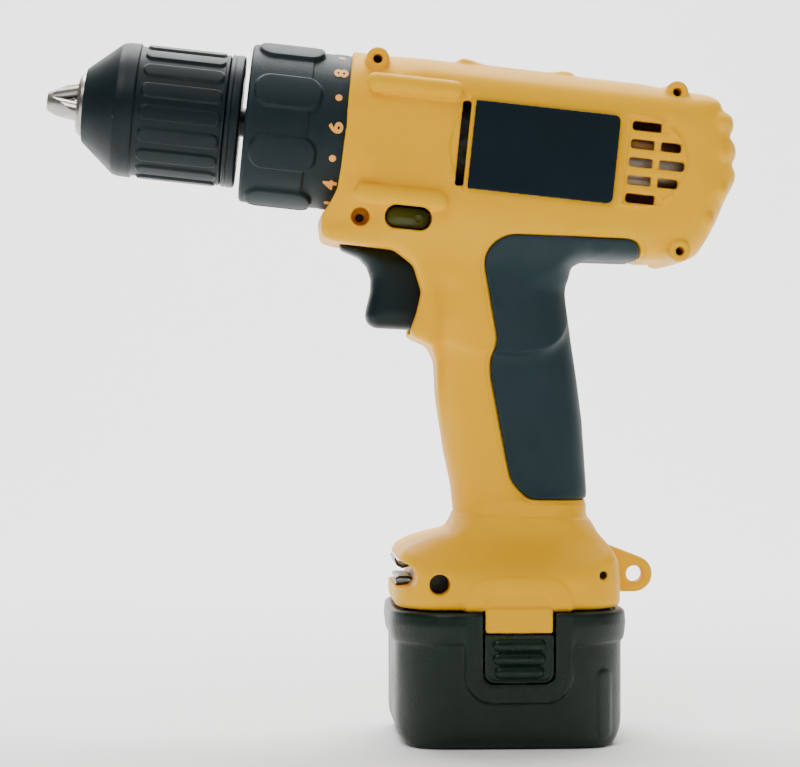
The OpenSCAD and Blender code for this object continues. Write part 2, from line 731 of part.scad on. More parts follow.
housing_left();
housing_right();
grip_left();
grip_right();
label_left();
label_right();
housing_screws();
chuck_body();
chuck_rear_ring();
chuck_sleeve();
chuck_nut();
chuck_screw();
jaw_1();
jaw_2();
jaw_3();
spindle();
output_carrier();
spindle_bearing();
torque_collar();
clutch_nut();
clutch_spring();
clutch_washer();
clutch_balls();
gearbox_case();
ring_gear_1();
speed_ring();
ring_gear_3();
planet_1a();
planet_1b();
planet_1c();
planet_2a();
planet_2b();
planet_2c();
planet_3a();
planet_3b();
planet_3c();
carrier_1();
carrier_2();
gear_selector();
motor_plate();
motor_can();
magnets();
armature();
commutator();
pinion();
brush_holders();
rear_bearing();
trigger();
trigger_spring();
switch_body();
direction_button();
terminal_block();
wires();
bit_clips();
battery_case();
battery_cover();
battery_cells();
release_button_left();
release_button_right();
battery_screws();
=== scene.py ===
"""Looks of the cordless drill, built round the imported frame.

The moulded parts are distance fields, in millimetres, meshed by surface nets: a field is negative
inside the part, and smooth minimums and maximums make its fillets and rounded edges. Turned parts
are lathed grids. u runs rearwards along the spindle and w runs up from it.
"""
import json
import math

import bpy
import numpy as np
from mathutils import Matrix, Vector


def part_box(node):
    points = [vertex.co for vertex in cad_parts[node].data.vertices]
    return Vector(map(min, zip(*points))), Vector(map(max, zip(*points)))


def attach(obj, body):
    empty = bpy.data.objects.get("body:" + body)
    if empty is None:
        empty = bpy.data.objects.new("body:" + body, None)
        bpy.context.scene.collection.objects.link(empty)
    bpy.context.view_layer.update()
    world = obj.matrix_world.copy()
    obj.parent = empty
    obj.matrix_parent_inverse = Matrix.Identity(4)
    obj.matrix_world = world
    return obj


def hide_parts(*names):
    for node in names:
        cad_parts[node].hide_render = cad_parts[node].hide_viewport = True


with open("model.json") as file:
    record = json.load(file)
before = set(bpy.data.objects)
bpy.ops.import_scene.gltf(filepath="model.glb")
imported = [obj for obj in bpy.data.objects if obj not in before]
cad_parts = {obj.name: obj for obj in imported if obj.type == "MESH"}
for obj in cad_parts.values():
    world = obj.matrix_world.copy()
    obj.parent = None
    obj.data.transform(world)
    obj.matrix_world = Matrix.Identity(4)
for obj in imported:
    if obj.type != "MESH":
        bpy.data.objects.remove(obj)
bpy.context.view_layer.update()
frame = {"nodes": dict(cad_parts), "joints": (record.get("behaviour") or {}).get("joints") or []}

MM = 0.001
JOINTS = {j["name"]: j for j in frame["joints"]}
SPIN = JOINTS["motor_spin"]
U = np.array(SPIN["axis"])
W = np.array([-U[2], 0.0, U[0]])
AXIS_Z = (SPIN["pos_m"][2] - SPIN["pos_m"][0] * U[2] / U[0]) / MM
TILT = math.atan2(-U[2], U[0])


def at(u, w):
    """Point of the X-Z plane, in mm, at station u and height w."""
    return (u * U[0] + w * W[0], AXIS_Z + u * U[2] + w * W[2])


def low(node):
    """Lowest corner of a CAD node, in mm."""
    return np.array(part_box(node)[0]) / MM


def high(node):
    """Highest corner of a CAD node, in mm."""
    return np.array(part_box(node)[1]) / MM


# ---- distance fields ----------------------------------------------------------------------------

def smin(a, b, k):
    """Minimum with a fillet of size k."""
    h = np.maximum(k - np.abs(a - b), 0) / k
    return np.minimum(a, b) - h * h * k * 0.25


def smax(a, b, k):
    """Maximum with a rounded edge of size k."""
    return -smin(-a, -b, k)


def bump(d, width):
    """1 where d is 0, falling smoothly to 0 at width and beyond."""
    t = np.clip(1 - (d / width) ** 2, 0, 1)
    return t * t


def step(a, b, x):
    """0 below a, 1 above b, smooth between."""
    t = np.clip((x - a) / (b - a), 0, 1)
    return t * t * (3 - 2 * t)


def rounded_box(x, y, hx, hy, r):
    """Distance to a rectangle with half sides hx and hy and corner radius r."""
    qx = np.abs(x) - hx + r
    qy = np.abs(y) - hy + r
    return np.hypot(np.maximum(qx, 0), np.maximum(qy, 0)) + np.minimum(np.maximum(qx, qy), 0) - r


def box3(x, y, z, hx, hy, hz, r):
    """Distance to a box with half sides hx, hy and hz and edge radius r."""
    qx, qy, qz = np.abs(x) - hx + r, np.abs(y) - hy + r, np.abs(z) - hz + r
    outside = np.sqrt(np.maximum(qx, 0) ** 2 + np.maximum(qy, 0) ** 2 + np.maximum(qz, 0) ** 2)
    return outside + np.minimum(np.maximum(np.maximum(qx, qy), qz), 0) - r


def outline(points, x, z):
    """Signed distance to a closed polygon, for arrays x and z of the same shape."""
    p = np.array(points, dtype=np.float32)
    best = np.full(x.shape, 1e9, dtype=np.float32)
    inside = np.zeros(x.shape, dtype=bool)
    for a, b in zip(p, np.roll(p, -1, axis=0)):
        e = b - a
        t = np.clip(((x - a[0]) * e[0] + (z - a[1]) * e[1]) / (e @ e), 0, 1)
        best = np.minimum(best, (x - a[0] - t * e[0]) ** 2 + (z - a[1] - t * e[1]) ** 2)
        if a[1] != b[1]:
            crosses = (a[1] > z) != (b[1] > z)
            inside ^= crosses & (x < a[0] + (z - a[1]) * e[0] / e[1])
    return np.where(inside, -1, 1) * np.sqrt(best)


def blur(field, radius, axes=(0, 2)):
    """Gaussian blur along the given axes, radius in cells: rounds an outline's corners."""
    n = int(math.ceil(radius * 3))
    kernel = np.exp(-0.5 * (np.arange(-n, n + 1) / radius) ** 2)
    kernel /= kernel.sum()
    for axis in axes:
        pad = [(n, n) if i == axis else (0, 0) for i in range(3)]
        wide = np.pad(field, pad, mode="edge")
        size = field.shape[axis]
        field = sum(k * np.take(wide, range(i, i + size), axis=axis) for i, k in enumerate(kernel))
    return field.astype(np.float32)


class Grid:
    """A box of sample points, in mm, with the coordinates ready for broadcasting."""

    def __init__(self, lo, hi, cell):
        self.cell = cell
        self.axes = [np.arange(a - 2 * cell, b + 3 * cell, cell, dtype=np.float32)
                     for a, b in zip(lo, hi)]
        self.x = self.axes[0][:, None, None]
        self.y = self.axes[1][None, :, None]
        self.z = self.axes[2][None, None, :]
        self.u = self.x * U[0] + (self.z - AXIS_Z) * U[2]
        self.w = self.x * W[0] + (self.z - AXIS_Z) * W[2]
        self.flat_x, self.flat_z = np.broadcast_arrays(self.x, self.z)

    def outline(self, points, rounding=0.0):
        """Distance to an outline in the X-Z plane, its corners rounded."""
        d = outline(points, self.flat_x, self.flat_z)
        return blur(d, rounding / self.cell) if rounding else d

    def barrel_outline(self, points, rounding=0.0):
        """Distance to an outline given as (u, w) points."""
        return self.outline([at(*p) for p in points], rounding)


CORNERS = [(i, j, k) for i in (0, 1) for j in (0, 1) for k in (0, 1)]
EDGES = [(a, b) for a in CORNERS for b in CORNERS
         if sum(abs(p - q) for p, q in zip(a, b)) == 1 and a < b]


def sample(field, places):
    """Field values at fractional cell places, by trilinear interpolation."""
    base = np.clip(np.floor(places).astype(int), 0, np.array(field.shape) - 2)
    frac = places - base
    total = 0
    for c in CORNERS:
        weight = np.prod(np.where(c, frac, 1 - frac), axis=1)
        total = total + weight * field[tuple((base + c).T)]
    return total


def surface(field, grid):
    """Vertices, in mm, and quads of the field's zero surface."""
    inside = field < 0
    shape = tuple(n - 1 for n in field.shape)
    count = np.zeros(shape, dtype=np.int8)
    for c in CORNERS:
        count += inside[tuple(slice(o, o + n) for o, n in zip(c, shape))]
    active = (count > 0) & (count < 8)
    cells = np.argwhere(active)
    index = np.full(shape, -1, dtype=np.int32)
    index[active] = np.arange(len(cells))
    total = np.zeros((len(cells), 3))
    hits = np.zeros((len(cells), 1))
    for a, b in EDGES:
        fa = field[tuple((cells + a).T)]
        fb = field[tuple((cells + b).T)]
        cross = (fa < 0) != (fb < 0)
        t = np.where(cross, fa / np.where(cross, fa - fb, 1), 0)
        total += cross[:, None] * (np.array(a) + t[:, None] * (np.array(b) - a))
        hits += cross[:, None]
    places = cells + total / hits
    # one step towards the exact surface, no further than a third of a cell
    small = 0.35
    slope = np.stack([sample(field, places + d) - sample(field, places - d)
                      for d in np.eye(3) * small], axis=1) / (2 * small)
    length2 = np.maximum((slope ** 2).sum(axis=1), 1e-6)
    move = -(sample(field, places) / length2)[:, None] * slope
    reach = np.maximum(np.linalg.norm(move, axis=1, keepdims=True), 1e-9)
    places = places + move * np.minimum(1, 0.33 / reach)
    quads = []
    for axis in range(3):
        p, q = [i for i in range(3) if i != axis]
        lo = [slice(None)] * 3
        hi = [slice(None)] * 3
        lo[axis], hi[axis] = slice(None, -1), slice(1, None)
        a, b = inside[tuple(lo)], inside[tuple(hi)]
        e = np.argwhere(a != b)
        keep = (e[:, p] > 0) & (e[:, q] > 0) & (e[:, p] < shape[p]) & (e[:, q] < shape[q])
        e = e[keep]
        ring = []
        for dp, dq in ((-1, -1), (0, -1), (0, 0), (-1, 0)):
            c = e.copy()
            c[:, p] += dp
            c[:, q] += dq
            ring.append(index[tuple(c.T)])
        ring = np.stack(ring, axis=1)
        outward = a[tuple(e.T)] if axis != 1 else ~a[tuple(e.T)]
        ring[~outward] = ring[~outward][:, ::-1]
        quads.append(ring)
    origin = np.array([axis[0] for axis in grid.axes])
    return places * grid.cell + origin, np.concatenate(quads)


# ---- making pieces --------------------------------------------------------------------------------

def add_piece(name, mesh, body, material, replaces=()):
    """Links a mesh as a piece that rides on a body, with its finish and the nodes it replaces."""
    piece = bpy.data.objects.new(name, mesh)
    bpy.context.scene.collection.objects.link(piece)
    mesh.materials.append(material)
    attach(piece, body)
    if replaces:
        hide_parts(*replaces)
    return piece


def quad_mesh(name, points, quads, smooth=True):
    """Mesh from points in mm and an array of quads."""
    mesh = bpy.data.meshes.new(name)
    mesh.vertices.add(len(points))
    mesh.vertices.foreach_set("co", (np.asarray(points) * MM).astype(np.float32).ravel())
    mesh.loops.add(quads.size)
    mesh.loops.foreach_set("vertex_index", quads.astype(np.int32).ravel())
    mesh.polygons.add(len(quads))
    mesh.polygons.foreach_set("loop_start", np.arange(0, quads.size, 4, dtype=np.int32))
    mesh.polygons.foreach_set("use_smooth", np.full(len(quads), smooth))
    mesh.update(calc_edges=True)
    mesh.validate()
    return mesh


def moulded(name, field, grid, body, material, replaces=(), mirror=False):
    """Piece made from a distance field; mirror flips it to the other side of Y = 0."""
    points, quads = surface(field, grid)
    if mirror:
        points[:, 1] *= -1
        quads = quads[:, ::-1]
    return add_piece(name, quad_mesh(name, points, quads), body, material, replaces)


# ---- materials ------------------------------------------------------------------------------------

class Shader:
    """A principled material with a few helpers for its procedural detail."""

    def __init__(self, name, colour, roughness, metallic=0.0, **sockets):
        self.material = bpy.data.materials.new(name)
        self.material.use_nodes = True
        self.tree = self.material.node_tree
        self.shader = self.tree.nodes["Principled BSDF"]
        self.shader.inputs["Base Color"].default_value = (*colour, 1)
        self.shader.inputs["Roughness"].default_value = roughness
        self.shader.inputs["Metallic"].default_value = metallic
        for key, value in sockets.items():
            self.shader.inputs[key.replace("_", " ")].default_value = value
        self.colour = colour
        self.roughness = roughness
        self.place = self.node("ShaderNodeTexCoord").outputs["Object"]
        self.normal = None

    def node(self, kind, **settings):
        made = self.tree.nodes.new(kind)
        for key, value in settings.items():
            setattr(made, key, value)
        return made

    def link(self, a, b):
        self.tree.links.new(a, b)

    def noise(self, scale, detail=3.0, rough=0.55, stretch=None):
        made = self.node("ShaderNodeTexNoise")
        made.inputs["Scale"].default_value = scale
        made.inputs["Detail"].default_value = detail
        made.inputs["Roughness"].default_value = rough
        place = self.place
        if stretch:
            mapping = self.node("ShaderNodeMapping")
            mapping.inputs["Rotation"].default_value = (0, -TILT, 0)
            mapping.inputs["Scale"].default_value = stretch
            self.link(place, mapping.inputs["Vector"])
            place = mapping.outputs["Vector"]
        self.link(place, made.inputs["Vector"])
        return made.outputs["Fac"]

    def ramp(self, value, stops):
        """Colour or value ramp from [(place, colour), ...]."""
        made = self.node("ShaderNodeValToRGB")
        elements = made.color_ramp.elements
        while len(elements) < len(stops):
            elements.new(0.5)
        for element, (place, colour) in zip(elements, stops):
            element.position = place
            element.color = (*colour, 1) if isinstance(colour, tuple) else (colour,) * 3 + (1,)
        self.link(value, made.inputs["Fac"])
        return made.outputs["Color"]

    def mottle(self, scale, amount):
        """Slow variation of the base colour."""
        dark = tuple(c * (1 - amount) for c in self.colour)
        light = tuple(min(1, c * (1 + amount)) for c in self.colour)
        colour = self.ramp(self.noise(scale), [(0.3, dark), (0.7, light)])
        self.link(colour, self.shader.inputs["Base Color"])
        return colour

    def blotch(self, scale, amount):
        """Variation of the roughness, as handling leaves it."""
        low_r = max(0.02, self.roughness - amount)
        ramp = self.ramp(self.noise(scale, 5.0),
                         [(0.3, low_r), (0.72, min(1, self.roughness + amount))])
        self.link(ramp, self.shader.inputs["Roughness"])

    def grain(self, scale, depth, detail=2.0, stretch=None):
        """Bump from noise, depth in mm."""
        self.bump(self.noise(scale, detail, 0.5, stretch), depth)

    def bump(self, height, depth):
        made = self.node("ShaderNodeBump")
        made.inputs["Strength"].default_value = 1.0
        made.inputs["Distance"].default_value = depth * MM
        self.link(height, made.inputs["Height"])
        if self.normal:
            self.link(self.normal, made.inputs["Normal"])
        self.normal = made.outputs["Normal"]
        self.link(self.normal, self.shader.inputs["Normal"])

    def edge_wear(self, base, colour, low_edge=0.53, high_edge=0.62, amount=0.6):
        """Rubbed colour on convex edges, broken up by noise."""
        geometry = self.node("ShaderNodeNewGeometry")
        edges = self.ramp(geometry.outputs["Pointiness"], [(low_edge, 0.0), (high_edge, amount)])
        patches = self.ramp(self.noise(260, 4.0), [(0.42, 0.0), (0.62, 1.0)])
        product = self.node("ShaderNodeMath", operation="MULTIPLY")
        self.link(edges, product.inputs[0])
        self.link(patches, product.inputs[1])
        mix = self.node("ShaderNodeMixRGB")
        self.link(product.outputs[0], mix.inputs["Fac"])
        self.link(base, mix.inputs["Color1"])
        mix.inputs["Color2"].default_value = (*colour, 1)
        self.link(mix.outputs["Color"], self.shader.inputs["Base Color"])


def yellow_plastic():
    s = Shader("yellow_plastic", (0.86, 0.43, 0.0), 0.42, Specular_IOR_Level=0.07)
    base = s.mottle(14, 0.02)
    s.edge_wear(base, (0.92, 0.5, 0.02), 0.54, 0.66, 0.3)
    s.blotch(55, 0.05)
    s.grain(1500, 0.02, 2.0)
    s.grain(90, 0.015, 1.0)
    return s.material


def grip_rubber():
    s = Shader("grip_rubber", (0.008, 0.024, 0.029), 0.58, Specular_IOR_Level=0.25)
    base = s.mottle(30, 0.1)
    s.edge_wear(base, (0.03, 0.06, 0.065), 0.53, 0.62, 0.5)
    s.blotch(80, 0.07)
    s.grain(2200, 0.035, 3.0)
    return s.material


def black_plastic(name="black_plastic", colour=(0.003, 0.009, 0.011), roughness=0.42, depth=0.03):
    s = Shader(name, colour, roughness, Specular_IOR_Level=0.22)
    base = s.mottle(40, 0.12)
    s.edge_wear(base, (0.05, 0.07, 0.074), 0.52, 0.6, 0.5)
    s.blotch(70, 0.08)
    s.grain(1800, depth, 2.5)
    return s.material


def battery_plastic():
    s = Shader("battery_plastic", (0.002, 0.010, 0.005), 0.38, Specular_IOR_Level=0.26)
    base = s.mottle(35, 0.14)
    s.edge_wear(base, (0.05, 0.07, 0.055), 0.52, 0.6, 0.5)
    s.blotch(60, 0.08)
    cells = s.node("ShaderNodeTexVoronoi")
    cells.inputs["Scale"].default_value = 1500
    s.link(s.place, cells.inputs["Vector"])
    s.bump(cells.outputs["Distance"], 0.05)
    s.grain(700, 0.05, 3.0)
    return s.material


def gloss_black(name="gloss_black", colour=(0.005, 0.012, 0.017), roughness=0.22):
    s = Shader(name, colour, roughness, Specular_IOR_Level=0.22)
    s.mottle(20, 0.15)
    s.blotch(120, 0.03)
    s.grain(300, 0.003, 1.0)
    return s.material


def metal(name, colour, roughness, stretch=(1, 40, 40), scale=60):
    """Turned or ground metal: fine lines run round or along the spindle axis."""
    s = Shader(name, colour, roughness, 1.0)
    s.mottle(50, 0.08)
    s.blotch(90, 0.07)
    s.grain(scale, 0.008, 4.0, stretch)
    return s.material


def paint(name, colour):
    s = Shader(name, colour, 0.5)
    s.mottle(400, 0.06)
    s.grain(2500, 0.01, 1.0)
    return s.material


MATERIALS = {
    "yellow": yellow_plastic(),
    "rubber": grip_rubber(),
    "black": black_plastic(),
    "collar": black_plastic("collar_plastic", (0.004, 0.013, 0.016), 0.5, 0.09),
    "trigger": black_plastic("trigger_plastic", (0.004, 0.012, 0.014), 0.4, 0.015),
    "release": black_plastic("release_plastic", (0.003, 0.012, 0.006), 0.3, 0.012),
    "battery": battery_plastic(),
    "label": gloss_black(),
    # direction button: dark gloss plastic whose olive-yellow base colour is painted reflection of the
    # yellow housing round it
    "button": gloss_black("button_gloss_painted_reflection", (0.05, 0.058, 0.008), 0.09),
    "steel": metal("machined_steel", (0.4, 0.38, 0.34), 0.27),
    "screw": metal("zinc_plate", (0.5, 0.46, 0.38), 0.35),
    "dark_steel": metal("blackened_steel", (0.045, 0.05, 0.048), 0.3),
    "copper": metal("copper_winding", (0.78, 0.32, 0.14), 0.35, (30, 30, 30)),
    "sintered": metal("sintered_steel", (0.28, 0.28, 0.28), 0.45, (20, 20, 20)),
    "brass": metal("brass", (0.72, 0.5, 0.22), 0.3),
    "numerals": paint("orange_print", (1.0, 0.42, 0.05)),
    "nylon": black_plastic("gear_nylon", (0.008, 0.009, 0.01), 0.55),
    "magnet": metal("ferrite", (0.07, 0.07, 0.075), 0.6, (9, 9, 9)),
    "wire": paint("wire_red", (0.5, 0.02, 0.015)),
    "cell": metal("cell_can", (0.55, 0.57, 0.56), 0.3),
}


# ---- housing --------------------------------------------------------------------------------------

WALL = 2.6
FOOT_Z = low("housing_left")[2] + 6.7       # underside of the foot
CELL = 0.55
BUTTON_U, BUTTON_W = -30.9, -27.1
EYE = (43.2, 53.5)
STALK_X = 4.4
FOOT_X, FOOT_HALF = -0.9, 37.6             # middle and half length of the foot and battery
GRIP_T = 1.5
RELEASE_LOW, RELEASE_HIGH = low("release_button_left"), high("release_button_left")
RELEASE_X = (RELEASE_LOW[0] + RELEASE_HIGH[0]) / 2
WINDOW_HALF = (RELEASE_HIGH[0] - RELEASE_LOW[0]) / 2 + 0.3
WINDOW_Z = RELEASE_LOW[2] - 0.3
TAB_Z = 37.4                                # lower edge of the housing's tabs
ARM_X, ARM_Y = 9.2, 35.6                   # catch arms, from the middle of the release button
BARREL_HALF = 28.5                         # half width of the barrel
LABEL_U, LABEL_W = 10.5, -1.55             # middle of the label
LABEL_HALF_U, LABEL_HALF_W = 23.9, 14.65
LABEL_ROUND_U = 12                         # behind this station the label's corners are round
LABEL_GAP = 0.2                            # between the label and its recess

HOUSING_SIDE = (
    [at(-54.2, 28.6), at(-10, 28.2), at(40, 27.6), at(56, 25.2)]
    + [(64, 213.2), (67.4, 211.8), (69.8, 209.4), (69.9, 206.5), (73.5, 205.3), (74.7, 202.6)]
    + [(74.4, 200), (72.2, 198), (75.4, 196.4), (76.5, 193.4), (76.1, 191), (73.8, 189.1)]
    + [(76.6, 187.4), (77.3, 184.6), (76.6, 181.4), (74.8, 175.6), (71.2, 170), (66.4, 163.8)]
    + [(62.2, 158.9), (57.4, 156.8)]
    + [(45.3, 156.8), (26.5, 157.2), (21.6, 155.0), (20, 149.5), (20.2, 144.8), (22, 131.5)]
    + [(24, 118.2), (25.7, 104.8), (27.3, 81.5), (27, 73.2), (28.5, 68), (32, 64.2)]
    + [(35.3, 59.5), (36.5, 53.5), (36.8, FOOT_Z), (-39, FOOT_Z), (-39.2, 51), (-38.2, 56)]
    + [(-37, 61), (-35.4, 62.9), (-30.7, 65.2), (-19, 68.4), (-17.3, 73.2), (-18.3, 83.6)]
    + [(-20.7, 94.8), (-23, 111.5), (-23.6, 124.6), (-25.6, 129.4), (-32.6, 132.8), (-31.8, 135.6)]
    + [(-30.2, 140), (-28.6, 147.2), (-31.3, 155.9), (-37.8, 161), (-56.8, 163.2)]
    + [(-61.6, 164.6), (-63.3, 167.4), (-62.2, 171.2), (-58.8, 175.8), (-56.4, 180.4)]
    + [(-55.2, 188.2), (-53.1, 208)]
)
GRIP_SIDE = [
    (-8.6, 156), (-7.9, 160.2), (-5, 163.6), (-0.6, 165.6), (39.6, 164), (42, 162.6),
    (43.2, 156), (34, 150), (34, 78.6), (5.8, 79), (0.1, 85), (-3.2, 102),
    (-6.5, 119.8), (-6.5, 124.8), (-4.3, 131), (-6.1, 141),
]
# [(x, z), half length, boss radius, hole radius, counterbore radius]
BOSSES = [
    [at(-46, 23.4), 22.4, 3.75, 1.55, 0],
    [at(52.5, 23.3), 22.2, 3.7, 1.45, 0],
    [at(58, -28.6), 27.2, 3.5, 1.45, 0],
    [(-49, 171.3), 0, 0, 1.3, 3.0],
    [(-24.2, 52.7), 0, 0, 3.3, 0],
    [(28.6, 55.3), 0, 0, 1.4, 0],
]
VENT_U, VENT_W, VENT_PITCH, VENT_R = 38.4, -1.35, 5.9, 18.4
RIB_ENDS = [(68.9, 202.4), (70.2, 192.4), (70, 179.8), (65.3, 170.2)]
NOTCH = [(-50, 51.8), (-50, 61.2), (-38.6, 61.2), (-36.6, 59.6), (-33.8, 58.7), (-31.9, 57.2),
         (-31.2, 55.2), (-31.5, 52.8), (-33.2, 51), (-37.2, 50.7), (-38.6, 51.6)]


def barrel_section(g):
    """Round at the front, squarish further back, rounded in plan at the rear."""
    front = step(-30, -52, g.u)
    half_width = BARREL_HALF - 0.7 * front
    top, bottom = 27.2, -35 + 6 * front - 7 * step(15, 30, g.u)
    low_part = rounded_box(g.y, g.w - (60 + bottom) / 2, half_width, (60 - bottom) / 2,
                           17 + 8 * front)
    # the top is an ellipse in section, wider than high
    rise, flat = 15.5 + 8 * front, 4.5 * (1 - front)
    crown = np.hypot(np.maximum(np.abs(g.y) - flat, 0) / (half_width - flat),
                     np.maximum(g.w - top + rise, 0) / rise) - 1
    section = np.maximum(low_part, crown * 17)
    plan = rounded_box(g.u - 2.4, g.y, 75, half_width + 3 * front, 22)
    return smax(section, plan, 5)


def foot_plan(g, half_x, half_y):
    """Plan of the foot and battery: big corners and slightly bowed sides."""
    bow = 1.3 * np.minimum((g.x - FOOT_X) / 28, 1.3) ** 2
    return rounded_box(g.x - FOOT_X, np.abs(g.y) + bow, half_x, half_y, 20)


def foot_section(g):
    plan = foot_plan(g, FOOT_HALF + 0.5, 40.2)
    flare = 18.4 + 21.6 * (1 - step(52, 74, g.z))
    return np.maximum(smax(plan, (np.abs(g.y) - flare) * 0.75, 3), g.z - 77)


def housing_base(g):
    """Smooth outer form of the housing."""
    side = g.outline(HOUSING_SIDE, 0.9)
    block = np.maximum(np.abs(g.y) - 20.5, rounded_box(g.x + 16, g.z - 156, 46, 28, 8))
    handle = np.maximum(np.abs(g.y) - 18.6, np.abs(g.z - 113) - 52)
    width = smin(barrel_section(g), smin(block, handle, 6), 9)
    width = smin(width, foot_section(g), 7)
    soft = 4 + 15 * step(160, 146, g.z) * step(66, 76, g.z) * step(-27, -20, g.x)
    soft = soft + 10 * step(15, 30, g.u) * step(0, -12, g.w) * step(150, 156, g.z)
    soft = soft - 3 * step(-42, -50, g.u) * step(166, 174, g.z)
    return smax(side, width, soft)


def rear_ribs(g, base):
    """Round ends of the finger ribs, on the shoulders beside the rear end."""
    height = 0
    for x, z in RIB_ENDS:
        height = np.maximum(height, bump(np.hypot(g.x - x, (g.z - z) * 0.85) / 3.1, 1.0))
    return base - 1.35 * height * step(14, 19, np.abs(g.y))


def seam_ridges(g):
    """Raised line that bulges round the slot in front and round the vents behind."""
    bow = np.where(g.u < -14.5, np.hypot(g.u - 1.4, g.w + 1.5) - 22, 9)
    w = g.w - VENT_W
    vents = np.maximum(np.where(g.u > 42.6, np.hypot(g.u - 42.6, w), np.abs(w)) - 14.3, 36.9 - g.u)
    line = np.minimum(np.abs(bow), np.abs(vents))
    return 0.8 * bump(line, 0.9) * (g.y < 0)


def inner_posts(g, d, base):
    """Screw posts inside the shell."""
    for (x, z), half, radius, hole, counterbore in BOSSES:
        post = np.hypot(g.x - x, g.z - z) - max(hole, counterbore) - 1.8
        d = smin(d, smax(post, base + 0.6, 0.3), 1.0)
    return d


def add_features(g, d):
    """Bosses, bars, saddle, lanyard eye and button tabs."""
    for (x, z), half, radius, hole, _ in BOSSES:
        if half:
            post = smax(np.hypot(g.x - x, g.z - z) - radius, np.abs(g.y) - half, 0.8)
            d = smin(d, post, 1.3)
    for u, w, half in ((-33.3, 15, 15.2), (-34.2, -21, 14.8)):
        along = np.maximum(np.abs(g.u - u) - half + 2.6, 0)
        bar = np.hypot(np.hypot(along, g.w - w), g.y + 28.1) - 3.15
        d = smin(d, bar, 0.4)
    saddle = g.barrel_outline([(-20.6, 20), (-20.2, 26), (-18.6, 27.8), (-15.2, 27.5), (-10, 26.2),
                               (11, 26), (15, 27.2), (18.4, 27.1), (20, 25), (20, 20)], 0.6)
    d = smin(d, smax(saddle, np.abs(g.y) - 15, 2.5), 1.0)
    ring = np.hypot(g.x - EYE[0], g.z - EYE[1]) - 6
    web = g.outline([(28, 65.8), (45.4, 59.1), (EYE[0], 47.5), (28, 47.5)], 0.3)
    d = smin(d, smax(np.minimum(ring, web), np.abs(g.y) - 3, 1.2), 1.2)
    # raised arch that runs down into the tab over the release button
    arch = rounded_box(g.x - RELEASE_X, g.z - 37, 17.2, 18.2, 9)
    inner = rounded_box(g.x - RELEASE_X, g.z - 37, 10.9, 12.6, 4)
    side = step(30, 36, np.abs(g.y))
    d = d - 0.7 * side * step(0.9, -0.9, arch) + 0.35 * side * step(0.6, -0.6, inner)
    tab = box3(g.x - RELEASE_X, g.y + 39.0, g.z - TAB_Z - 4, 10.8, 1.5, 4.0, 0.9)
    return smin(d, tab, 0.5)


def label_outline(g, inset):
    """Outline of the label's recess, or of the label itself when it is inset."""
    corner = np.where(g.u > LABEL_ROUND_U, 2.2, 0.5) - inset / 2
    return rounded_box(g.u - LABEL_U, g.w - LABEL_W, LABEL_HALF_U - inset, LABEL_HALF_W - inset,
                       corner)


def cut_features(g, d, screw_side):
    """Label recess, slot, vents, holes and openings."""
    def cut(tool, k=0.4):
        nonlocal d
        d = smax(d, -tool, k)

    skin = np.abs(g.y) - BARREL_HALF
    recess = label_outline(g, 0)
    cut(np.maximum(recess, -skin - 0.75), 0.15)
    cut(np.maximum(rounded_box(g.u + 15.8, g.w + 1.4, 1.45, 13.9, 0.8), 20 - np.abs(g.y)), 0.3)
    for i in range(-2, 3):
        reach = math.sqrt(VENT_R ** 2 - (VENT_PITCH * abs(i) + 1.9) ** 2)
        row = rounded_box(g.u - VENT_U - reach / 2, g.w - VENT_W - VENT_PITCH * i, reach / 2, 1.55,
                          1.0)
        rib = np.abs(g.u - 47.3) - 1.1
        if abs(i) == 2:
            rib = 48.0 - g.u
        cut(np.maximum(row, -skin - 1.8), 0.3)
        cut(np.maximum(np.maximum(row, -rib), -skin - 6), 0.3)
    for (x, z), half, radius, hole, counterbore in BOSSES:
        r = np.hypot(g.x - x, g.z - z)
        if screw_side or not half:
            cut(np.maximum(r - hole, 8 - np.abs(g.y)), 0.4)
        if counterbore:
            cut(np.maximum(r - counterbore, 13 - np.abs(g.y)), 0.4)
    cut(box3(g.x - 32.6, g.y + 42.8, g.z - 54.2, 3.2, 6.6, 3.3, 0.4), 0.5)
    du, dw = g.u - BUTTON_U, g.w - BUTTON_W
    cut(np.maximum(rounded_box(du, dw, 7.6, 3.75, 3.65), 14 - np.abs(g.y)), 0.5)
    pocket = g.outline([(-66, 137.1), (-66, 164.3), (-16.5, 159.1), (-16.5, 131.9)])
    cut(np.maximum(pocket, np.abs(g.y) - 8.8), 0.5)
    cut(g.outline(NOTCH, 0.7), 0.6)
    cut(np.hypot(g.x - EYE[0], g.z - EYE[1]) - 2.72, 0.7)
    cut(np.maximum(np.hypot(g.x - STALK_X, g.y) - 14.4, g.z - 86), 0.4)
    slots = box3(np.abs(g.x - RELEASE_X) - ARM_X, g.y + ARM_Y, g.z - 46, 2.1, 2.6, 7, 0.4)
    cut(slots, 0.3)
    cut(box3(g.u - 1.25, g.y, g.w - 26, 9.8, 6.5, 6, 0.8), 0.5)
    radius = np.hypot(g.y, g.w)
    cut(np.maximum(radius - 24.6, g.u + 47), 0.5)
    cut(np.maximum(radius - 26.3, g.u + 51.3), 0.5)
    return d


def grip_region(g):
    return g.outline(GRIP_SIDE, 1.6)


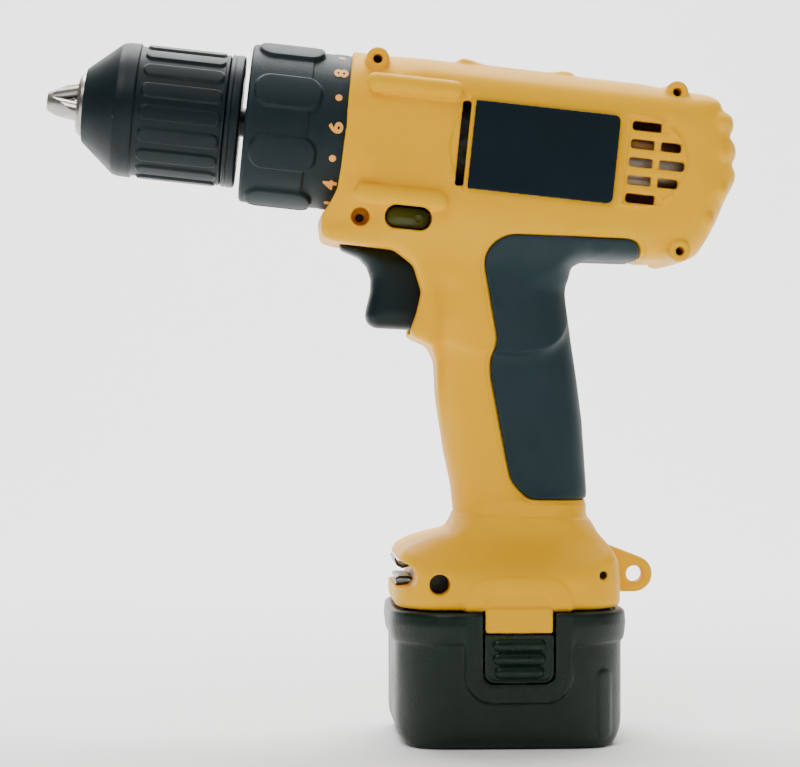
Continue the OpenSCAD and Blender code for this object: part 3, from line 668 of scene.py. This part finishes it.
def housing_half(side):
    """One moulded half of the housing; side is -1 for the left half and 1 for the right."""
    name = "housing_left" if side < 0 else "housing_right"
    lo, hi = low("housing_left"), high("housing_left")
    g = Grid(lo - [1.5, 1.5, 0.5], [hi[0] + 1.5, 0, hi[2] + 3.5], CELL)
    base = housing_base(g)
    d = rear_ribs(g, base)
    d = d - seam_ridges(g) * (np.abs(g.y) > 24)
    neck = g.z - 73.4 + 0.04 * g.x
    d = d - 0.5 * step(0.3, -0.3, neck) * step(62, 70, g.z)
    d = add_features(g, d)
    wall = WALL - 1.3 * step(17, 22, g.w)
    d = smax(d, -(base + wall), 0.8)
    backing = box3(g.x + 33.5, g.y, g.z - 54.5, 6.5, 38, 9.5, 1)
    d = smin(d, smax(base + 0.5, backing, 0.5), 0.5)
    cradles = np.minimum(np.abs(g.u + 40) - 1.2, np.abs(g.u + 18) - 1.2)
    hollow = np.minimum(np.hypot(g.y, g.w) - 23.5, g.w + 24)
    d = smin(d, np.maximum(np.maximum(cradles, base + 0.5), -hollow), 0.5)
    d = inner_posts(g, d, base)
    grip = grip_region(g)
    d = smax(d, -smax(grip - 1.4, -(base + 0.4), 0.2), 0.3)
    d = smax(d, -smax(grip - 0.12, -(base + GRIP_T), 0.3), 0.35)
    d = cut_features(g, d, side < 0)
    d = smax(d, g.y + 0.04, 0.35)
    moulded(f"{name}_shell", d, g, "housing", MATERIALS["yellow"], [name], side > 0)


def grip_half(side):
    """Rubber overmould in the recess of one half."""
    name = "grip_left" if side < 0 else "grip_right"
    g = Grid([-9, -29, 76], [47, 0, 169], CELL * 0.9)
    base = housing_base(g)
    region = grip_region(g)
    d = smax(base + 0.06, region + 0.1, 1.1)
    d = smax(d, -(base + GRIP_T - 0.06), 0.3)
    d = smax(d, g.y, 0.15)
    moulded(f"{name}_rubber", d, g, "housing", MATERIALS["rubber"], [name], side > 0)


for half_side in (-1, 1):
    housing_half(half_side)
    grip_half(half_side)


# ---- turned parts ---------------------------------------------------------------------------------

def around(u, r, angle):
    """Point beside the spindle axis; the angle rises from the side at -Y, in radians."""
    w = r * np.sin(angle)
    x, z = at(u, w)
    return np.stack([x + 0 * w, -r * np.cos(angle), z + 0 * w], axis=-1)


def soft_profile(corners, cut=0.35, pitch=0.45):
    """Closed profile with cut corners, resampled at an even pitch."""
    p = np.array(corners, float)
    before, after = np.roll(p, 1, axis=0), np.roll(p, -1, axis=0)
    points = []
    for a, b, c in zip(before, p, after):
        da, dc = np.linalg.norm(a - b), np.linalg.norm(c - b)
        ca, cc = min(cut, da / 2.5), min(cut, dc / 2.5)
        start, end = b + (a - b) / da * ca, b + (c - b) / dc * cc
        for t in (0, 0.33, 0.67, 1):
            points.append((1 - t) ** 2 * start + 2 * t * (1 - t) * b + t ** 2 * end)
    dense = []
    for a, b in zip(points, points[1:] + points[:1]):
        steps = max(1, math.ceil(np.linalg.norm(b - a) / pitch))
        dense += [a + (b - a) * i / steps for i in range(steps)]
    return np.array(dense)


def turned(name, corners, body, material, replaces=(), height=None, segments=240, cut=0.35,
           pitch=0.45):
    """Ring from a closed profile of (u, r) corners; height(u, angle) raises its surface."""
    profile = soft_profile(corners, cut, pitch)
    u, r = profile[:, 0][:, None], profile[:, 1][:, None]
    angle = np.linspace(0, 2 * math.pi, segments, endpoint=False)[None, :]
    r = r + (height(u, r, angle) if height else 0 * angle)
    points = around(u + 0 * angle, r, angle + 0 * u).reshape(-1, 3)
    n, m = len(profile), segments
    i, j = np.meshgrid(np.arange(n), np.arange(m), indexing="ij")
    k, q = (i + 1) % n, (j + 1) % m
    quads = np.stack([i * m + j, i * m + q, k * m + q, k * m + j], axis=-1).reshape(-1, 4)
    area = np.sum(profile[:, 0] * np.roll(profile[:, 1], -1)
                  - profile[:, 1] * np.roll(profile[:, 0], -1))
    if area < 0:
        quads = quads[:, ::-1]
    return add_piece(name, quad_mesh(name, points, quads), body, material, replaces)


def wrapped(angle, centre, pitch):
    """Angle from the nearest of the evenly spaced centres."""
    return (angle - centre + pitch / 2) % pitch - pitch / 2


# ---- chuck ----------------------------------------------------------------------------------------

RIBS = 18
SLEEVE_R = 21.8
RIB_U, RIB_HALF = -107.9, 13.1              # middle and half length of a rib


def rib_height(u, r, angle):
    """Raised grips on the chuck sleeve with rounded ends."""
    pitch = 2 * math.pi / RIBS
    across = wrapped(angle, math.radians(-5.8), pitch) * SLEEVE_R
    d = rounded_box(across, u - RIB_U, 2.5, RIB_HALF, 2.2)
    outside = (r > 20.9) & (u > -122) & (u < -94)
    return 0.82 * step(0.18, -0.3, d) * outside


def chuck():
    sleeve = [(-140.1, 10.8), (-140.3, 12.1), (-138.6, 13.6), (-129.2, 21.6), (-127.2, 22.1),
              (-123.2, 22.2), (-122.9, 21.4), (-121.9, 21.4), (-121.6, 21.35), (-94.6, 21.35),
              (-94.4, 21.8), (-93.6, 21.6), (-93.4, 19.5), (-129, 19.5), (-129, 15.6),
              (-136.4, 10.75)]
    turned("chuck_sleeve_skin", sleeve, "sleeve", MATERIALS["black"],
           ["chuck_sleeve"], rib_height, 480, 0.3, 0.4)
    ring = [(-93.35, 15.05), (-93.35, 21.3), (-92.9, 21.9), (-91.9, 21.95), (-91.6, 21.6),
            (-91.3, 21.95), (-89.2, 21.9), (-88.6, 21.3), (-88.6, 15.05)]
    turned("chuck_ring_skin", ring, "spindle", MATERIALS["black"],
           ["chuck_rear_ring"], None, 240, 0.3)


# ---- torque collar --------------------------------------------------------------------------------

LOBES = 8
LOBE_U, LOBE_HALF, LOBE_WIDTH = -73.7, 10.9, 5.9
LOBE_R = 27.4                               # crest of a lobe
GRIP_R = 26.6


def lobe_height(u, r, angle):
    """Raised pads on the collar, each a pill that hangs over the step to the numbered band."""
    pitch = 2 * math.pi / LOBES
    across = wrapped(angle, math.radians(20.5), pitch) * GRIP_R
    d = rounded_box(across, u - LOBE_U, LOBE_WIDTH, LOBE_HALF, 5.2)
    crown = 1 - 0.12 * (across / LOBE_WIDTH) ** 2
    outside = (r > 24.5) & (u > -86.2)
    return (LOBE_R - r) * step(0.25, -0.55, d) * crown * outside


def text_mesh(text, size):
    """Numeral as a mesh, centred, with its top towards +Y."""
    curve = bpy.data.curves.new("numeral", "FONT")
    curve.body = text
    curve.size = size
    curve.align_x = "CENTER"
    curve.align_y = "CENTER"
    curve.offset = 0.03 * size
    curve.extrude = 0.22
    curve.bevel_depth = 0.05
    curve.bevel_resolution = 1
    curve.resolution_u = 6
    holder = bpy.data.objects.new("numeral", curve)
    bpy.context.scene.collection.objects.link(holder)
    bpy.context.view_layer.update()
    mesh = bpy.data.meshes.new_from_object(
        holder.evaluated_get(bpy.context.evaluated_depsgraph_get()))
    bpy.data.objects.remove(holder)
    bpy.data.curves.remove(curve)
    return mesh


def disc_mesh(radius, half):
    """Small disc with a bevelled edge."""
    mesh = bpy.data.meshes.new("dot")
    rings = [(0.0, half), (radius - 0.12, half), (radius, half - 0.08), (radius, -half),
             (0.0, -half)]
    n = 24
    turn = [(math.cos(2 * math.pi * k / n), math.sin(2 * math.pi * k / n)) for k in range(n)]
    points = [(0, 0, half)] + [(r * c, r * s, z) for r, z in rings[1:4] for c, s in turn]
    points.append((0, 0, -half))
    faces = [(0, 1 + k, 1 + (k + 1) % n) for k in range(n)]
    for a in (0, 1):
        faces += [(1 + a * n + k, 1 + (a + 1) * n + k, 1 + (a + 1) * n + (k + 1) % n,
                   1 + a * n + (k + 1) % n) for k in range(n)]
    faces += [(len(points) - 1, 1 + 2 * n + (k + 1) % n, 1 + 2 * n + k) for k in range(n)]
    mesh.from_pydata(points, [], faces)
    return mesh


def wrap_on_band(mesh, u, r, angle, spread):
    """Bends a flat mesh, in mm, round the collar's band."""
    flat = np.empty(len(mesh.vertices) * 3)
    mesh.vertices.foreach_get("co", flat)
    flat = flat.reshape(-1, 3)
    turn = angle + flat[:, 0] * spread / r
    places = around(u - flat[:, 1], r + flat[:, 2], turn)
    mesh.vertices.foreach_set("co", (places * MM).astype(np.float32).ravel())
    mesh.update()


def numerals():
    """Even settings as numerals, odd ones as dots, and a drill bit's mark after the last."""
    r, u = 25.62, -57.0
    for k in range(16):
        setting = 10 - k
        angle = math.radians(88 - 22.5 * k)
        if setting < 1:
            setting += 16
        if setting % 2:
            mesh = disc_mesh(1.15, 0.24)
        elif setting < 16:
            mesh = text_mesh(str(setting), 6.0)
        else:
            mesh = disc_mesh(1.6, 0.24)
        mesh.name = f"setting_{setting}"
        wrap_on_band(mesh, u - (0.3 if setting % 2 else 0), r, angle,
                     1 if setting % 2 else 1.25)
        add_piece(f"setting_{setting}", mesh, "collar", MATERIALS["numerals"])


def collar():
    profile = [(-86.8, 16.05), (-86.8, 25.0), (-86.4, 25.8), (-85.6, 26.2), (-66.5, 26.2),
               (-66.1, 25.7), (-53.6, 25.7), (-52.9, 25.2), (-52.8, 22.7), (-84.2, 22.7),
               (-84.2, 16.05)]
    turned("torque_collar_skin", profile, "collar", MATERIALS["collar"],
           ["torque_collar"], lobe_height, 480, 0.35, 0.4)
    numerals()


chuck()
collar()


# ---- battery --------------------------------------------------------------------------------------

BATTERY_Y = high("battery_cover")[1]
RIM_Z = high("battery_case")[2] + 2.2
FORM_Z, FORM_HALF = 39.4, 40.4              # middle and half height of the battery's blank
SCREW_PLACE = 11.5                          # the four screws are this far from both middle lines


def battery_form(g, inset=0.0):
    """Battery body: rounded plan, soft lower corners."""
    plan = foot_plan(g, FOOT_HALF, BATTERY_Y)
    side = rounded_box(g.x - FOOT_X, g.z - FORM_Z, FOOT_HALF, FORM_HALF, 10.5)
    front = rounded_box(g.y, g.z - FORM_Z, BATTERY_Y, FORM_HALF, 7)
    return smax(smax(plan, side, 2), front, 3) + inset


def release_frame(g):
    """Distance to the raised U-shaped border round a release button, seen from the side."""
    return rounded_box(g.x - RELEASE_X, g.z - 45, 17.2, 30, 9)


def battery_case():
    g = Grid([-42.5, -43, -1], [42.5, 43, RIM_Z + 1], CELL * 1.1)
    base = battery_form(g)
    frame_d = release_frame(g)
    face = step(34, 38, np.abs(g.y))
    rim = np.interp(g.z, [33.4, 34.1, 35.8, 39.5, 42.8, 44.3], [0, 0.8, 1.2, 1.6, 1.3, 0.4])
    border = step(0.45, -0.45, frame_d) * face
    corner = rounded_box(g.x - 29, g.z - 14, 2.4, 11, 2.4)
    d = base - rim * (1 - border) - 1.6 * border
    d = d - 0.35 * step(0.5, -0.5, corner) * (1 - border)
    d = smax(d, -(base + 2.3), 0.4)
    d = smax(d, g.z - RIM_Z, 0.5)
    d = smax(d, 0.05 - g.z, 0.15)
    window = rounded_box(g.x - RELEASE_X, g.z - 50, WINDOW_HALF, 50 - WINDOW_Z, 3.6)
    d = smax(d, -np.maximum(window, 33 - np.abs(g.y)), 0.5)
    screws = np.hypot(np.abs(g.x) - SCREW_PLACE, np.abs(g.y) - SCREW_PLACE) - 1.9
    d = smax(d, -np.maximum(screws, g.z - 1.8), 0.3)
    moulded("battery_case_skin", d, g, "battery", MATERIALS["battery"],
            ["battery_case"])


def battery_cover():
    """Top plate, the stalk that goes up the handle and its contact slots."""
    top = high("battery_cover")[2]
    g = Grid([-40, -42, RIM_Z - 5.5], [40, 42, top + 1], CELL * 1.3)
    plate = smax(battery_form(g, 2.5), np.abs(g.z - RIM_Z + 1.6) - 1.5, 0.5)
    stalk = np.hypot(g.x - STALK_X, g.y) - 13.8
    d = smin(plate, smax(stalk, g.z - top, 1.6), 1.6)
    d = smax(d, RIM_Z - 3.2 - g.z, 0.3)
    inner = np.maximum(np.hypot(g.x - STALK_X, g.y) - 11.5, g.z - top + 5)
    d = smax(d, -inner, 0.4)
    contacts = box3(np.abs(g.x - 2.6) - 6, g.y, g.z - top, 3.3, 0.95, 9.5, 0.3)
    d = smax(d, -contacts, 0.3)
    arms = box3(np.abs(g.x - RELEASE_X) - ARM_X, np.abs(g.y) - ARM_Y, g.z - RIM_Z,
                2.1, 2.6, 6, 0.3)
    d = smax(d, -arms, 0.2)
    well = box3(g.x - RELEASE_X, np.abs(g.y) - 40, g.z - RIM_Z, WINDOW_HALF, 2.6, 8, 0.3)
    d = smax(d, -well, 0.2)
    moulded("battery_cover_skin", d, g, "battery", MATERIALS["battery"],
            ["battery_cover"])


def release_button(side):
    """Pad with three grip ribs and two spring arms with catches."""
    name = "release_button_left" if side < 0 else "release_button_right"
    g = Grid([RELEASE_LOW[0] - 1, -BATTERY_Y - 2, RELEASE_LOW[2] - 1],
             [RELEASE_HIGH[0] + 1, -33, RELEASE_HIGH[2] + 1], CELL * 0.6)
    x, depth = g.x - RELEASE_X, g.y + BATTERY_Y
    outline_d = smax(rounded_box(x, g.z - 45, WINDOW_HALF - 0.55, 45 - WINDOW_Z - 0.5, 3.3),
                     g.z - TAB_Z + 0.5, 0.5)
    ribs = 0
    for z in (24.9, 29.2, 33.5):
        along = np.maximum(np.abs(x) - 6.6 + 0.6 * (z < 25), 0)
        round_rib = 1 - np.hypot(along, g.z - z) ** 2 / 1.9 ** 2
        ribs = np.maximum(ribs, np.maximum(round_rib, 0) ** 0.5)
    dish = 0.55 * step(0.5, -1.2, outline_d)
    front = -depth - 0.55 + dish - 1.15 * ribs
    pad = smax(smax(outline_d, front, 0.6), depth - 2.2, 0.3)
    arm = box3(np.abs(x) - ARM_X, g.y + BATTERY_Y - 3.3, g.z - 41, 1.65, 0.7, 10, 0.3)
    foot = box3(np.abs(x) - ARM_X, g.y + BATTERY_Y - 2.6, g.z - 33.5, 1.65, 1.2, 2.5, 0.3)
    d = smin(smin(pad, foot, 0.4), arm, 0.5)
    moulded(f"{name}_pad", d, g, "release_left" if side < 0 else "release_right",
            MATERIALS["release"], [name], side > 0)


# ---- trigger, direction button, speed selector and label ---------------------------------------------

TRIGGER_SIDE = [
    (-24, 158), (-31, 160.2), (-37.8, 161.6), (-48.7, 162.9), (-56, 163.6), (-54.9, 161.2),
    (-52.1, 160), (-48.9, 158.6), (-46.2, 155.6), (-44.9, 151.6), (-45.1, 147.2), (-46.3, 142.4),
    (-46.8, 139.3), (-46, 136.9), (-43.6, 135.4), (-24, 134.4),
]


def trigger():
    g = Grid([-58, -9.5, 132], [-3, 9.5, 166], CELL * 0.75)
    side = g.outline(TRIGGER_SIDE, 0.6)
    width = np.abs(g.y) - 8.2 + 0.6 * bump((g.z - 149) / 16, 1.0)
    d = smax(side, width, 7)
    d = smax(d, np.abs(g.y) - 8.2, 0.5)
    rod = np.hypot(g.y, g.w + 50) - 2.2
    rod = np.maximum(rod, np.abs(g.u + 13) - 8.4)
    d = smin(d, rod, 0.5)
    moulded("trigger_skin", d, g, "trigger", MATERIALS["trigger"], ["trigger"])


def direction_button():
    """Pill through the housing with a domed, glossy end on each side and a dimple in it; its olive tint
    is painted reflection of the yellow housing.
    """
    g = Grid([-40, -24, 163], [-22, 24, 179], CELL * 0.6)
    du, dw = g.u - BUTTON_U, g.w - BUTTON_W
    pill = rounded_box(du, dw, 7.3, 3.45, 3.4)
    dome = np.abs(g.y) - 21.2 - 1.6 * np.clip(-pill / 3.4, 0, 1) ** 0.5
    d = smax(pill, dome * 0.6, 0.4)
    ring = np.abs(np.hypot(du - 3.4, dw + 0.1) - 1.5)
    d = d - 0.22 * bump(ring, 0.55) * step(20, 21, np.abs(g.y))
    d = d + 0.3 * bump(np.hypot(du - 3.4, dw + 0.1), 1.2) * step(20, 21, np.abs(g.y))
    moulded("direction_button_skin", d, g, "direction_button",
            MATERIALS["button"], ["direction_button"])


def speed_selector():
    """Ribbed slider on the saddle and the plate that covers its slot."""
    box_low, box_high = low("gear_selector"), high("gear_selector")
    g = Grid([box_low[0] - 1, -9.5, box_low[2] - 1], [box_high[0] + 1, 9.5, box_high[2] + 2],
             CELL * 0.55)
    plate = box3(g.u + 0.35, g.y, g.w - 24.2, 11.7, 8, 0.45, 0.4)
    slope = 0.9 * np.abs((g.u + 0.5) / 7.5) ** 2
    top = 0.7 * bump(((g.u + 0.5 + 1.25) % 2.5 - 1.25) / 1.0, 1.0) - slope
    knob = smax(rounded_box(g.u + 0.5, g.y, 7.4, 5.9, 1.2), g.w - 26.6 - top * 0.5, 0.4)
    knob = smax(knob, 24.2 - g.w, 0.2)
    link = box3(g.u + 6.5, g.y, g.w - 22.5, 1.5, 1.8, 2.2, 0.2)
    d = smin(smin(plate, knob, 0.4), link, 0.3)
    moulded("gear_selector_skin", d, g, "speed_selector", MATERIALS["black"],
            ["gear_selector"])


def strip(g, points, half):
    """Distance to a bent strip of even thickness, seen from the side."""
    best = 99.0
    for (x0, z0), (x1, z1) in zip(points, points[1:]):
        dx, dz = x1 - x0, z1 - z0
        t = np.clip(((g.x - x0) * dx + (g.z - z0) * dz) / (dx * dx + dz * dz), 0, 1)
        best = np.minimum(best, np.hypot(g.x - x0 - t * dx, g.z - z0 - t * dz))
    return best - half


def bit_clips():
    """Spring strips that hold screwdriver bits in the notch at the front of the foot."""
    g = Grid([-40, -18, 49], [-30, 18, 62], 0.25)
    upper = strip(g, [(-37.2, 59.4), (-36.6, 57.6), (-34.9, 56.7), (-31.9, 57.7)], 0.42)
    lower = strip(g, [(-36.8, 53.1), (-36, 53.5), (-32.4, 53.3), (-31.6, 52.4),
                      (-32.6, 51.4), (-36.8, 51.2)], 0.42)
    d = smax(smin(upper, lower, 0.2), np.abs(g.y) - 13.5, 0.4)
    moulded("bit_clip_strips", d, g, "housing", MATERIALS["dark_steel"], ["bit_clips"])


def label(side):
    """Blank gloss plate in its recess."""
    name = "label_left" if side < 0 else "label_right"
    g = Grid([-19, -29.5, 174], [38, -26.5, 212], 0.35)
    edge = label_outline(g, LABEL_GAP)
    d = smax(edge, np.abs(g.y + 28.12) - 0.34, 0.25)
    moulded(f"{name}_plate", d, g, "housing", MATERIALS["label"], [name], side > 0)


battery_case()
battery_cover()
trigger()
direction_button()
speed_selector()
bit_clips()
for half_side in (-1, 1):
    release_button(half_side)
    label(half_side)


# ---- finishes for the parts that keep their CAD shape --------------------------------------------------

CAD_FINISH = {
    "steel": ["chuck_body", "jaw_1", "jaw_2", "jaw_3", "chuck_nut", "chuck_screw",
              "clutch_balls", "clutch_washer", "clutch_spring", "trigger_spring",
              "rear_bearing", "spindle_bearing", "motor_plate"],
    "screw": ["battery_screws", "motor_can"],
    "black": ["housing_screws"],
    "dark_steel": ["spindle"],
    "sintered": ["ring_gear_1", "ring_gear_3", "speed_ring", "carrier_1", "carrier_2",
                 "output_carrier", "pinion"],
    "magnet": ["magnets"],
    "brass": ["clutch_nut", "brush_holders", "commutator"],
    "nylon": ["gearbox_case", "switch_body", "terminal_block"],
    "wire": ["wires"],
    "copper": ["armature"],
    "cell": ["battery_cells"],
}


def finish_cad():
    finishes = {node: kind for kind, nodes in CAD_FINISH.items() for node in nodes}
    for node, piece in frame["nodes"].items():
        kind = finishes.get(node, "sintered" if node.startswith("planet") else None)
        if kind:
            piece.data.materials.clear()
            piece.data.materials.append(MATERIALS[kind])


finish_cad()


# ---- floor, light and camera ------------------------------------------------------------------------

def look_at(obj, target):
    obj.rotation_euler = (Vector(target) - obj.location).to_track_quat("-Z", "Y").to_euler()


def studio():
    """Pale sweep, three soft lights and a bright surround."""
    width, front, back, rise, radius = 8.0, -9.0, 1.3, 4.0, 0.7
    profile = [(front, 0)] + [
        (back - radius + radius * math.sin(a), radius - radius * math.cos(a))
        for a in np.linspace(0, math.pi / 2, 16)] + [(back, rise)]
    mesh = bpy.data.meshes.new("sweep")
    points = [(x, y, z) for y, z in profile for x in (-width, width)]
    faces = [(2 * i, 2 * i + 1, 2 * i + 3, 2 * i + 2) for i in range(len(profile) - 1)]
    mesh.from_pydata(points, [], faces)
    for face in mesh.polygons:
        face.use_smooth = True
    sweep = bpy.data.objects.new("sweep", mesh)
    bpy.context.scene.collection.objects.link(sweep)
    shade = Shader("sweep", (0.97, 0.97, 0.96), 0.9)
    shade.mottle(2, 0.01)
    mesh.materials.append(shade.material)
    for name, place, size, power, target in (
            ("key", (-0.5, -0.85, 1.2), 0.7, 10, (0, 0, 0.12)),
            ("fill", (0.9, -1.3, 0.3), 1.2, 2.2, (0, 0, 0.12)),
            ("top", (0.1, -0.1, 1.5), 1.1, 3, (0, 0, 0.1)),
            ("backdrop", (0, 0.9, 1.6), 1.6, 85, (0, 1.2, 0.4))):
        light = bpy.data.lights.new(name, "AREA")
        light.size = size
        light.energy = power
        lamp = bpy.data.objects.new(name, light)
        lamp.location = place
        bpy.context.scene.collection.objects.link(lamp)
        look_at(lamp, target)
    world = bpy.data.worlds.new("world")
    world.use_nodes = True
    world.node_tree.nodes["Background"].inputs["Color"].default_value = (1, 1, 1, 1)
    world.node_tree.nodes["Background"].inputs["Strength"].default_value = 0.22
    bpy.context.scene.world = world


def camera():
    """Level camera at the side of the drill, a few degrees towards the nose."""
    distance, yaw = 0.85, math.radians(-3)
    view_width = 0.2667
    target = Vector((-0.035, 0, 0.117))
    data = bpy.data.cameras.new("camera")
    data.sensor_width = 36
    data.lens = data.sensor_width * distance / view_width
    eye = bpy.data.objects.new("camera", data)
    eye.location = target + Vector((math.sin(yaw), -math.cos(yaw), 0)) * distance
    bpy.context.scene.collection.objects.link(eye)
    look_at(eye, target)
    bpy.context.scene.camera = eye


studio()
camera()
